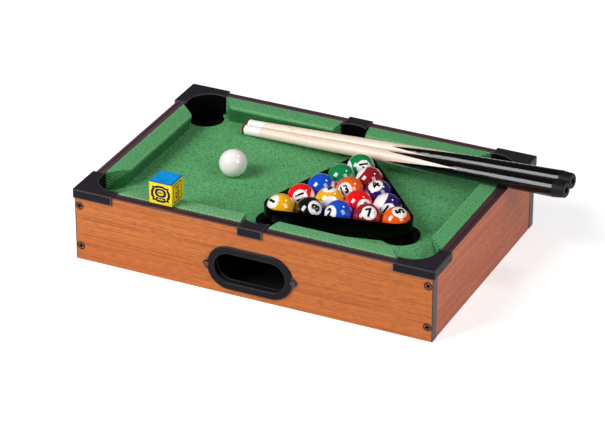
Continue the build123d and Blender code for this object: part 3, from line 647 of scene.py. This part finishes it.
def loftCushion(endLow, endHigh):
    # endLow and endHigh are (place at the board, change per metre out from it), measured along the rail
    s = cushionSpec
    section = cushionLoop()
    loop = [p for p, undercut, rubbedAndSheen in section]
    count = len(loop)
    midU, midZ = sum(u for u, z in loop) / count, sum(z for u, z in loop) / count
    girth = [0.0]
    for i in range(count):
        (ua, za), (ub, zb) = loop[i], loop[(i + 1) % count]
        girth.append(girth[-1] + hypot(ub - ua, zb - za))
    rounding = s["edgeRound"]
    endRings = []  # (shrink of the section, distance in from the end)
    widest, room = 1 - rounding / s["meanRadius"], s["capMargin"]
    for k in range(s["capRings"]):
        endRings.append((widest * (k + room) / (s["capRings"] - 1 + 2 * room), 0.0))
    for k in range(s["roundSteps"]):
        swing = pi / 2 * (1 - k / s["roundSteps"])
        endRings.append((1 - rounding * (1 - cos(swing)) / s["meanRadius"], rounding * (1 - sin(swing))))
    rings = []
    for end, inward, order in ((endLow, 1, endRings), (endHigh, -1, endRings[::-1])):
        for shrink, back in order:
            ring = [(midU + (u - midU) * shrink, midZ + (z - midZ) * shrink) for u, z in loop]
            rings.append(([(u, end[0] + end[1] * u + inward * back, z) for u, z in ring], 1.0))
        if inward == 1:
            stations = max(8, round((endHigh[0] - endLow[0]) / s["spacing"]))
            for k in range(stations + 1):
                points = []
                for u, z in loop:
                    low = endLow[0] + endLow[1] * u + rounding
                    high = endHigh[0] + endHigh[1] * u - rounding
                    points.append((u, low + (high - low) * k / stations, z))
                rings.append((points, 0.0))
    points = [p for ring, isEnd in rings for p in ring]
    shadeRubEnd = [(undercut, rubbedAndSheen * (1 - isEnd), isEnd, 1.0)
                for ring, isEnd in rings for p, undercut, rubbedAndSheen in section]
    faces, weave = [], []
    for r in range(len(rings) - 1):
        onEnd = rings[r][1] and rings[r + 1][1]
        for i in range(count):
            j = (i + 1) % count
            face = [r * count + i, r * count + j, (r + 1) * count + j, (r + 1) * count + i]
            faces.append(face)
            if onEnd:
                weave.append([(points[v][0], points[v][2]) for v in face])
            else:
                weave.append([(points[v][1], girth[g]) for v, g in zip(face, (i, i + 1, i + 1, i))])
    for face in (list(range(count))[::-1], [(len(rings) - 1) * count + i for i in range(count)]):
        faces.append(face)
        weave.append([(points[v][0], points[v][2]) for v in face])
    glued = [v for v, (u, y, z) in enumerate(points) if u < s["gluedBack"] or z < s["gluedLow"]]
    return {"points": points, "faces": faces, "weave": weave, "shadeRubEnd": shadeRubEnd, "glued": glued}


def swellCushion(name, form):
    # blows the cloth up on its strip at ten times size, then brings it back
    s = cushionSpec
    big = s["simScale"]
    mesh = bpy.data.meshes.new(name)
    mesh.from_pydata([(u * big, y * big, z * big) for u, y, z in form["points"]], [], form["faces"])
    bag = newObject(name, mesh)
    group = bag.vertex_groups.new(name="glued")
    group.add(form["glued"], 1.0, "REPLACE")
    sim = bag.modifiers.new("cloth", "CLOTH")
    for setting, value in s["blow"].items():
        setattr(sim.settings, setting, value)
    sim.settings.effector_weights.gravity = 0
    sim.point_cache.frame_start = 1
    sim.point_cache.frame_end = s["frames"]
    for step in range(1, s["frames"] + 1):
        scene.frame_set(step)
    blown = evaluated(bag).to_mesh()
    swollen, furthest = [], 0.0
    for vertex, old in zip(blown.vertices, form["points"]):
        move = vertex.co / big - Vector(old)
        furthest = max(furthest, move.length)
        if move.length > s["most"]:
            move = move * (s["most"] / move.length)
        new = Vector(old) + move
        swollen.append((max(new.x, s["nearest"]), new.y, min(new.z, s["highest"])))
    bpy.data.objects.remove(bag)
    scene.frame_set(1)
    print(name, "blown, furthest point", round(furthest * 1000, 2), "mm")
    form["points"] = swollen


def placeCushion(name, form, axis, sign, run, topRubAndSheen):
    # on the wall square to axis, on its positive or negative side, mirrored along the rail where run is -1;
    # the last argument is how far its top is drawn paler, partly sleeves' rubbing and partly painted sheen
    wall = cushionSpec["wall"][axis]
    placed = []
    for u, y, z in form["points"]:
        across, rail = sign * (wall - u), run * y
        placed.append((across, rail, z) if axis == "x" else (rail, across, z))
    piece = newPiece(name + "_cloth", placed, form["faces"], cushionFelt)
    layer = piece.data.uv_layers.new(name="weave")
    layer.data.foreach_set("uv", [c for face in form["weave"] for uv in face for c in uv])
    shadeRubEnd = piece.data.attributes.new("shadeRubEnd", "FLOAT_COLOR", "POINT")
    for value, (undercut, rubbedAndSheen, isEnd, full) in zip(shadeRubEnd.data, form["shadeRubEnd"]):
        # the rub pales the nose and top: partly wear, partly painted sheen
        rub = max(rubbedAndSheen * (cushionSpec["noseRubAndSheen"] + topRubAndSheen), topRubAndSheen * (1 - undercut) * (1 - isEnd))
        value.color = (undercut, rub, isEnd, full)
    work = bmesh.new()
    work.from_mesh(piece.data)
    bmesh.ops.recalc_face_normals(work, faces=work.faces[:])
    work.to_mesh(piece.data)
    work.free()
    smoother = piece.modifiers.new("smooth", "SUBSURF")
    smoother.levels = smoother.render_levels = 1
    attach(piece, "table")
    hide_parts(name)


# ends as (place at the board, change per metre out from it)
cushionKinds = {
    "end": ((-0.0759, 0.0165 / 0.0178), (0.0759, -0.0165 / 0.0178)),
    "long": ((0.0124, 0.0030 / 0.0178), (0.1335, -0.0130 / 0.0178)),
}
cushionPlaces = {
    # the last column is how far each top is drawn paler: partly wear, partly painted sheen
    "right_cushion": ("end", "x", 1, 1, 0.0), "left_cushion": ("end", "x", -1, 1, 0.0),
    "rear_right_cushion": ("long", "y", 1, 1, 0.0), "rear_left_cushion": ("long", "y", 1, -1, 0.05),
    "front_right_cushion": ("long", "y", -1, 1, 0.3), "front_left_cushion": ("long", "y", -1, -1, 0.5),
}
cushionForms = {}
for kind, ends in cushionKinds.items():
    cushionForms[kind] = loftCushion(*ends)
    swellCushion(kind + "_cushion_swell", cushionForms[kind])
for name, (kind, axis, sign, run, topRubAndSheen) in cushionPlaces.items():
    placeCushion(name, cushionForms[kind], axis, sign, run, topRubAndSheen)
print("six cushions placed")

# Balls: cast resin, each turned the way it lies in the rack
ballSpec = {
    "radius": 0.0127,
    "disc": 0.525,  # half-width of the white number disc, in ball radii
    "fineness": 6,  # subdivisions of the icosphere
    "inlayBlur": 0.01,  # width of an inlay's soft edge, in ball radii
    "swirl": {"coloured": 0.9, "white": 0.97},  # the darker tone in the resin, as a share of the paler
    "numeral": 0.0085,  # height of a figure
    "squeeze": {1: 1.05, 2: 0.82},  # width of a figure by its count of digits
    "type": {"align_x": "CENTER", "resolution_u": 5, "extrude": 0.05, "offset": 0.03},
    "bold": 0.035,  # how far its outline is moved out, in shares of the height
    "cut": 0.11, "cuts": 4,  # longest edge of a figure's mesh, the same, and the rounds that cut it
    "lift": 0.00005, "sink": 0.0001,  # a figure's faces above and below the ball's surface
}
resinColours = {
    "yellow": "#ffb900", "blue": "#0650cf", "red": "#fb0712", "purple": "#25146b", "orange": "#ff6208",
    "green": "#00884c", "maroon": "#99111f", "black": "#020202", "white": "#fdf6f3",
}
colourOrder = ["yellow", "blue", "red", "purple", "orange", "green", "maroon", "black"]
# number: the disc's middle and its figure's turn, then for a striped ball its white pole and the band's
# half-width; directions are right, up and towards the camera, as the photograph shows them
ballTurns = {
    1: ((-0.61, 0.50, 0.61), 70),
    2: ((-0.64, 0.13, 0.76), -10),
    3: ((0.42, -0.17, 0.89), -15),
    4: ((-0.235, 0.65, 0.72), 60),
    5: ((0.21, 0.69, 0.69), 100),
    6: ((-0.32, -0.70, 0.64), 0),
    7: ((0.12, 0.38, 0.92), 8),
    8: ((0.43, 0.25, 0.87), 55),
    9: ((-0.02, 0.918, 0.40), 0, (0.03, -0.366, 0.93), 0.75),
    10: ((0.0, -0.85, 0.53), 0, (0.958, 0.0, 0.286), 0.86),
    11: ((-0.07, 0.05, 0.99), -70, (0.953, 0.05, 0.30), 0.85),
    12: ((0.05, -0.25, 0.97), -35, (-0.79, 0.57, 0.22), 0.56),
    13: ((-0.386, 0.09, 0.92), 25, (0.10, -0.98, 0.10), 0.93),
    14: ((0.22, 0.04, 0.97), -82, (-0.96, -0.10, 0.25), 0.78),
    15: ((0.74, 0.66, -0.12), 0, (-0.76, 0.64, 0.05), 0.75),
}


def seenAs(right, up, out):
    return (viewRight * right + viewUp * up + viewOut * out).normalized()


# Cast resin: one deep colour through the ball, white inlays, a high polish with faint handling haze
def castResin(number, centre, disc, pole, band):
    material, tree, place = startMaterial("cast_resin_%02d" % number)
    base = hexColour(resinColours[colourOrder[(number - 1) % 8] if number else "white"])
    shade = ballSpec["swirl"]["coloured" if number else "white"]
    darker = tuple(c * shade for c in base[:3]) + (1.0,)
    size = 1 / ballSpec["radius"]
    local = addNode(tree, "Mapping", {
        "Vector": place, "Location": tuple(-c * size for c in centre), "Scale": (size, size, size)})
    swirl = addNode(tree, "TexNoise", {"Vector": local, "Scale": 1.4, "Detail": 3.0, "Distortion": 0.8})
    colour = laidOver(tree, base, darker, swirl, 0.3, 0.7)
    inlays = []  # (axis, where the white begins)
    if number > 8:
        inlays.append((pole, band))
    if number:
        inlays.append((disc, sqrt(1 - ballSpec["disc"] ** 2)))
    for axis, rim in inlays:
        facing = addNode(tree, "VectorMath", {0: local, 1: tuple(axis)}, operation="DOT_PRODUCT")
        either = addNode(tree, "Math", {0: facing}, operation="ABSOLUTE")
        colour = laidOver(tree, colour, resinColours["white"], either, rim, rim + ballSpec["inlayBlur"])
    polish = addNode(tree, "TexNoise", {"Vector": local, "Scale": 6.0, "Detail": 2.0})
    return surfaced(material, colour, (swirl, 0.04, 0.08), (polish, 0.05, 0.00001),
                    {"IOR": 1.56, "Coat Weight": 1.0 if number else 0.2, "Coat Roughness": 0.03})


def roundBall(name, centre, material):
    work = bmesh.new()
    bmesh.ops.create_icosphere(work, subdivisions=ballSpec["fineness"], radius=ballSpec["radius"],
                               matrix=Matrix.Translation(centre))
    return pieceFromWork(name, work, material)


def figureWork(words):
    # the number as a thin solid, one unit high and centred, cut fine enough to wrap
    text = bpy.data.curves.new("figure", "FONT")
    text.body = words
    for setting, value in ballSpec["type"].items():
        setattr(text, setting, value)
    holder = newObject("figure", text)
    mesh = bpy.data.meshes.new_from_object(evaluated(holder))
    bpy.data.objects.remove(holder)
    work = bmesh.new()
    work.from_mesh(mesh)
    bmesh.ops.remove_doubles(work, verts=work.verts[:], dist=1e-5)
    work.normal_update()
    bolder = []
    for v in work.verts:
        walls = [f.normal for f in v.link_faces if abs(f.normal.z) < 0.5]
        out = sum(walls, Vector()).to_2d() if walls else Vector((0, 0))
        bolder.append(out.normalized() * ballSpec["bold"] if out.length > 0.1 else out * 0)
    for v, out in zip(work.verts, bolder):
        v.co.x += out.x
        v.co.y += out.y
    bmesh.ops.triangulate(work, faces=work.faces[:])
    for cut in range(ballSpec["cuts"]):
        longEdges = [e for e in work.edges if e.calc_length() > ballSpec["cut"]]
        bmesh.ops.subdivide_edges(work, edges=longEdges, cuts=1)
        bmesh.ops.triangulate(work, faces=work.faces[:])
    xs, ys = [v.co.x for v in work.verts], [v.co.y for v in work.verts]
    rise = max(ys) - min(ys)
    for v in work.verts:
        v.co.x = (v.co.x - (max(xs) + min(xs)) / 2) / rise
        v.co.y = (v.co.y - (max(ys) + min(ys)) / 2) / rise
    bmesh.ops.recalc_face_normals(work, faces=work.faces[:])
    return work


ballInk = grainedFinish("ball_figure_ink", ("#060606", "#0d0d0d"), 0.5, 0.2, 0.00001)


def wrapFigure(name, number, centre, disc, turn):
    up = (viewUp - disc * viewUp.dot(disc)).normalized()
    up = Matrix.Rotation(radians(turn), 3, disc) @ up
    height = ballSpec["numeral"]
    squeeze = ballSpec["squeeze"][len(str(number))]
    both = bmesh.new()
    for outward in (disc, -disc):
        work = figureWork(str(number))
        across = up.cross(outward)
        for v in work.verts:
            x, y = v.co.x * height * squeeze, v.co.y * height
            reach = hypot(x, y)
            swing = reach / ballSpec["radius"]
            way = (across * x + up * y) / reach if reach > 1e-9 else up
            out = ballSpec["radius"] + (ballSpec["lift"] if v.co.z > 0 else -ballSpec["sink"])
            v.co = Vector(centre) + (outward * cos(swing) + way * sin(swing)) * out
        holder = bpy.data.meshes.new("half")
        work.to_mesh(holder)
        work.free()
        both.from_mesh(holder)
        bpy.data.meshes.remove(holder)
    return pieceFromWork(name, both, ballInk, smooth=False)


for number in range(16):
    nodeName = "ball_%d" % number if number else "cue_ball"
    low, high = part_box(nodeName)
    centre = (low + high) / 2
    disc = pole = band = None
    if number:
        disc, turn = seenAs(*ballTurns[number][0]), ballTurns[number][1]
    if number > 8:
        pole, band = seenAs(*ballTurns[number][2]), ballTurns[number][3]
    ball = roundBall(nodeName + "_resin", centre, castResin(number, centre, disc, pole, band))
    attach(ball, nodeName)
    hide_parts(nodeName)
    kind = "stripe_" if number > 8 else "ball_"
    if number:
        figure = wrapFigure("ball_%d_figure" % number, number, centre, disc, turn)
        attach(figure, nodeName)
print("sixteen balls and fifteen figures")

# Label print: plain ornament in dark ink on the four sides of the chalk's paper, in shares of half a side
labelSpec = {
    "thick": 0.00004, "bite": 0.00002, "steps": 96,
    # rings as (half-width, half-height, inner share, height of the middle, scallops, their depth, squareness)
    "plaque": [(0.80, 0.74, 0.74, 0.0, 8, 0.07, 0.45), (0.50, 0.40, 0.56, 0.10, 0, 0.0, 0.7)],
    "panel": [(0.68, 0.86, 0.89, 0.0, 0, 0.0, 0.12)],
    # rows as (height, half-height, dashes as middle and half-width)
    "plaqueRows": [(0.10, 0.08, [(-0.14, 0.07), (0.02, 0.05), (0.15, 0.05)]),
                   (-0.42, 0.08, [(-0.30, 0.12), (-0.02, 0.10), (0.28, 0.14)])],
    "panelRows": [(0.56, 0.05, [(-0.2, 0.16), (0.2, 0.18)]), (0.38, 0.05, [(-0.05, 0.3)]),
                  (0.2, 0.04, [(0.0, 0.2)]), (-0.04, 0.07, [(-0.22, 0.12), (0.16, 0.2)]),
                  (-0.26, 0.04, [(0.0, 0.34)]), (-0.42, 0.05, [(-0.18, 0.16), (0.22, 0.14)]),
                  (-0.58, 0.05, [(0.0, 0.28)])],
}
labelInk = grainedFinish("printed_navy_ink", ("#0a0e30", "#10153c"), 0.5, 0.5, 0.00001, 0.2)


def ovalPath(wide, tall, middle, scallops, depth, square):
    path = []
    for k in range(labelSpec["steps"]):
        angle = 2 * pi * k / labelSpec["steps"]
        c, s = cos(angle), sin(angle)
        swell = 1 + depth * cos(scallops * angle) if scallops else 1.0
        path.append((wide * swell * (abs(c) ** square) * (1 if c >= 0 else -1),
                     middle + tall * swell * (abs(s) ** square) * (1 if s >= 0 else -1)))
    return path


def inkPrism(work, paths, seat):
    # a thin closed plate between an outer and an inner path, or a filled one when there is a single path
    layers = [[[work.verts.new(seat(a, b, lift)) for a, b in path] for path in paths]
              for lift in (-labelSpec["bite"], labelSpec["thick"])]
    for low, high in zip(*layers):
        bridge(work, low, high)
    for layer in layers:
        if len(layer) == 1:
            work.faces.new(layer[0])
        else:
            bridge(work, *layer)


def printLabel():
    low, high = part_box("chalk_label")
    middle, half = (low + high) / 2, (high - low) / 2
    work = bmesh.new()
    for side in range(4):
        turn = pi / 2 * side
        outward = Vector((sin(turn), -cos(turn), 0))
        across = Vector((cos(turn), sin(turn), 0))
        rise = Vector((0, 0, half.z))

        def seat(a, b, lift):
            return middle + outward * (half.x + lift) + across * a * half.x + rise * b

        kind = "plaque" if side % 2 == 0 else "panel"
        for wide, tall, inner, height, scallops, depth, square in labelSpec[kind]:
            outer = ovalPath(wide, tall, height, scallops, depth, square)
            inside = [(a * inner, height + (b - height) * inner) for a, b in outer]
            inkPrism(work, [outer, inside], seat)
        for height, tall, dashes in labelSpec[kind + "Rows"]:
            for at, wide in dashes:
                inkPrism(work, [[(at + a * wide, height + b * tall) for a, b in squareCorners]], seat)
    return pieceFromWork("chalk_label_print", work, labelInk, smooth=False)


labelPrint = printLabel()
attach(labelPrint, "chalk")
print("label printed")

# Screws: one head of each kind, set on its places by a small node tree
screwSpec = {
    "panel": {"x": 0.1662, "z": (0.0137, 0.0535), "y": 0.115, "radius": 0.0039,
              "profile": [(0.45, -0.0022), (0.98, -0.00012), (1.0, -0.00004), (0.985, 0.00002),
                          (0.80, 0.00004)],
              "rim": 0.9, "cross": {"length": 0.0042, "width": 0.0015, "depth": 0.0011}},
    "bezel": {"x": 0.0417, "z": (0.0262,), "y": 0.1163, "radius": 0.0021,
              "profile": [(0.55, -0.0006), (0.97, 0.0), (1.0, 0.0003), (0.96, 0.0007), (0.84, 0.00098),
                          (0.62, 0.00115), (0.55, 0.0012)],
              "rim": 0.98, "cross": {"length": 0.0022, "width": 0.0006, "depth": 0.0006}},
    "steps": 48, "taper": 0.55, "seed": 7,
    "place": 0.001,  # half-width of the face that marks a place
}
screwSteel = bronzedSteel("bronzed_steel_screws", ("#68443a", "#8d6050"))


def screwHead(name, spec):
    # turned head looking along +Z with a tapered cross recess; the rim and the recess are marked for painted
    # shade
    steps, radius, top = screwSpec["steps"], spec["radius"], spec["profile"][-1][1]
    work = bmesh.new()
    recessShade = work.faces.layers.float.new("recessShade")
    turns = [2 * pi * i / steps for i in range(steps)]
    rings = [[work.verts.new((radius * share * cos(t), radius * share * sin(t), height)) for t in turns]
             for share, height in spec["profile"]]
    for (share, height), lower, upper in zip(spec["profile"], rings, rings[1:]):
        for side in bridge(work, lower, upper):
            side[recessShade] = 1.0 if share > spec["rim"] or height < 0 else 0.0
    work.faces.new(rings[0][::-1])
    half, arm = spec["cross"]["width"] / 2, spec["cross"]["length"] / 2
    corners = [(arm, -half), (arm, half), (half, half)]
    while len(corners) < 12:
        x, y = corners[-3]  # the rest follow by quarter turns
        corners.append((-y, x))
    taper = screwSpec["taper"]
    mouth = [work.verts.new((x, y, top)) for x, y in corners]
    floor = [work.verts.new((x * taper, y * taper, top - spec["cross"]["depth"])) for x, y in corners]
    for wall in bridge(work, floor, mouth) + [work.faces.new(floor)]:
        wall[recessShade] = 1.0
    bmesh.ops.triangle_fill(work, use_beauty=True, edges=rimEdges(work, mouth) + rimEdges(work, rings[-1]))
    return pieceFromWork(name, work, screwSteel, smooth=False)


def screwTree(name):
    tree = bpy.data.node_groups.new(name, "GeometryNodeTree")
    kinds = {"Places": "Geometry", "Head": "Object", "Size": "Float", "Finish": "Material"}
    sockets = {title: tree.interface.new_socket(title, in_out="INPUT", socket_type="NodeSocket" + kind)
               for title, kind in kinds.items()}
    tree.interface.new_socket("Screws", in_out="OUTPUT", socket_type="NodeSocketGeometry")
    given = addNode(tree, "NodeGroupInput")
    # the way each place looks is kept from its face before it becomes a point
    looking = addNode(tree, "GeometryNodeCaptureAttribute", {"Geometry": given.outputs["Places"]},
                      domain="FACE")
    looking.capture_items.new("VECTOR", "Facing")
    tree.links.new(addNode(tree, "GeometryNodeInputNormal").outputs[0], looking.inputs["Facing"])
    points = addNode(tree, "GeometryNodeMeshToPoints", {"Mesh": looking.outputs["Geometry"]}, mode="FACES")
    turned = addNode(tree, "FunctionNodeAlignRotationToVector", {"Vector": looking.outputs["Facing"]},
                     axis="Z")
    driven = addNode(tree, "FunctionNodeRandomValue", {3: 2 * pi, "Seed": screwSpec["seed"]},
                     data_type="FLOAT")
    spin = addNode(tree, "FunctionNodeAxisAngleToRotation", {"Axis": (0, 0, 1), "Angle": driven})
    whole = addNode(tree, "FunctionNodeRotateRotation", {0: turned, 1: spin}, rotation_space="LOCAL")
    head = addNode(tree, "GeometryNodeObjectInfo", {"Object": given.outputs["Head"]})
    heads = addNode(tree, "GeometryNodeInstanceOnPoints", {
        "Points": points, "Instance": head.outputs["Geometry"], "Rotation": whole,
        "Scale": given.outputs["Size"]})
    real = addNode(tree, "GeometryNodeRealizeInstances", {0: heads})
    finished = addNode(tree, "GeometryNodeSetMaterial", {
        "Geometry": real, "Material": given.outputs["Finish"]})
    addNode(tree, "NodeGroupOutput", {0: finished})
    return tree, sockets


def setScrews(name, places, head, tree, sockets):
    # each place is a small face that looks the way the screw does
    points, faces = [], []
    for x, y, z in places:
        first = len(points)
        points += [(x + a * screwSpec["place"], y, z + b * screwSpec["place"]) for a, b in squareCorners]
        face = [first, first + 1, first + 2, first + 3]
        faces.append(face if y < 0 else face[::-1])
    piece = newPiece(name, points, faces, screwSteel, smooth=False)
    modifier = piece.modifiers.new("screws", "NODES")
    modifier.node_group = tree
    modifier[sockets["Head"].identifier] = head
    modifier[sockets["Size"].identifier] = 1.0
    modifier[sockets["Finish"].identifier] = screwSteel
    made = bpy.data.meshes.new_from_object(evaluated(piece))
    piece.modifiers.clear()
    piece.data = made
    made.name = name
    return piece


screwNodes, screwSockets = screwTree("screws_on_places")
for kind, sides in (("panel", (-1, 1)), ("bezel", (-1,))):
    spec = screwSpec[kind]
    head = screwHead(kind + "_head", spec)
    places = [(x, side * spec["y"], z) for side in sides for x in (-spec["x"], spec["x"]) for z in spec["z"]]
    screws = setScrews(kind + "_screws_heads", places, head, screwNodes, screwSockets)
    bpy.data.objects.remove(head)
    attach(screws, "table")
    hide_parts(kind + "_screws")
print("screws set")

# Floor: white paper sweep, plain white away from the table
floorSpec = {"half": 30.0, "under": -0.0002, "near": 0.45, "far": 1.0, "glow": 0.5, "paper": "#f4f4f4"}


def whitePaper():
    material, tree, place = startMaterial("white_paper_sweep")
    reach = addNode(tree, "VectorMath", {0: place}, operation="LENGTH")
    rays = addNode(tree, "LightPath")
    mirrored = addNode(tree, "Math", {
        0: rays.outputs["Is Glossy Ray"], 1: rays.outputs["Is Transmission Ray"]}, operation="MAXIMUM")
    seen = addNode(tree, "Math", {0: rays.outputs["Is Camera Ray"], 1: mirrored}, operation="MAXIMUM")
    fade = addNode(tree, "MapRange", {
        "Value": reach, "From Min": floorSpec["near"], "From Max": floorSpec["far"]},
        interpolation_type="SMOOTHSTEP")
    away = addNode(tree, "Math", {0: seen, 1: fade}, operation="MULTIPLY")
    lift = addNode(tree, "Math", {0: seen, 1: floorSpec["glow"]}, operation="MULTIPLY")
    paper = addNode(tree, "BsdfDiffuse", {"Color": floorSpec["paper"]})
    glow = addNode(tree, "Emission", {"Strength": lift})
    lit = addNode(tree, "AddShader", {0: paper, 1: glow})
    white = addNode(tree, "Emission", {"Strength": 1.0})
    whole = addNode(tree, "MixShader", {0: away, 1: lit, 2: white})
    feed(tree, tree.nodes["Material Output"], {"Surface": whole})
    tree.nodes.remove(tree.nodes["Principled BSDF"])
    return material


half, under = floorSpec["half"], floorSpec["under"]
floor = newPiece("floor", [(a * half, b * half, under) for a, b in squareCorners], [[0, 1, 2, 3]],
                 whitePaper(), smooth=False)

print("dressed")
